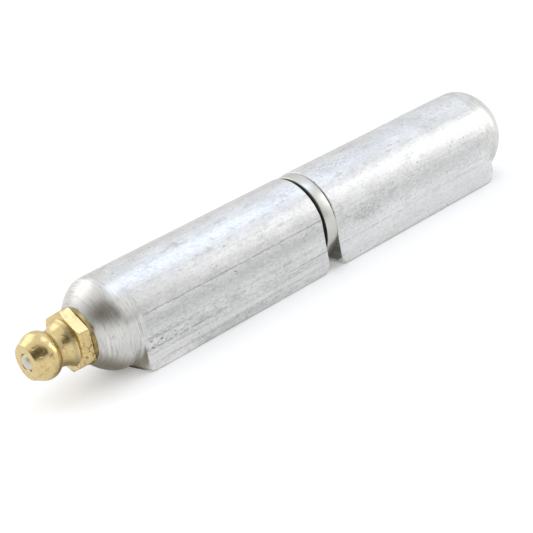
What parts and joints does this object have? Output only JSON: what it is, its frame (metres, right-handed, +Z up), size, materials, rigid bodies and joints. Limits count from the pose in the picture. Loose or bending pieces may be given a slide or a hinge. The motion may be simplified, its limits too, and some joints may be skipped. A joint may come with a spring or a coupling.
{
  "type": "weld-on barrel hinge",
  "caption": "Lift-off barrel hinge for welding: two teardrop aluminium halves with domed ends on one pin, a thrust washer between them and a brass grease fitting.",
  "frame": {"origin": "bottom centre of the bounding box: on the plane of the weld faces, under the pin axis, half way along the overall length", "axes": "+X along the pin from the grease fitting to the half that holds the pin, +Z up from the plane of the weld faces, Y across the hinge"},
  "size_m": [0.0896, 0.0134, 0.014],
  "materials": {
    "extruded_aluminium": "mill-finish extrusion with lengthwise streaks, domed ends turned",
    "pin_steel": "ground stainless steel rod",
    "bush_brass": "plain turned brass",
    "washer_steel": "turned stainless steel, satin rim",
    "fitting_brass": "bright turned brass with small pits",
    "ball_steel": "polished bearing ball",
    "spring_steel": "drawn spring wire"
  },
  "bodies": {
    "pin_half": {"pin_half": "extruded_aluminium", "hinge_pin": "pin_steel"},
    "washer": {"thrust_washer": "washer_steel"},
    "free_half": {"free_half": "extruded_aluminium", "bush": "bush_brass", "fitting_body": "fitting_brass", "check_spring": "spring_steel"},
    "check_ball": {"check_ball": "ball_steel"}
  },
  "joints": [
    {"name": "swing", "type": "hinge", "parent": "pin_half", "child": "washer", "pos_m": [0.00531, 0, 0.0072], "axis": [1, 0, 0], "continuous": true},
    {"name": "lift_off", "type": "slide", "parent": "washer", "child": "free_half", "axis": [-1, 0, 0], "range_m": [-0.0005, 0.028]},
    {"name": "ball_valve", "type": "slide", "parent": "free_half", "child": "check_ball", "axis": [1, 0, 0], "range_m": [0, 0.0012], "stiffness_N_per_m": 300, "springref_m": -0.003, "deforming": ["check_spring"]}
  ]
}
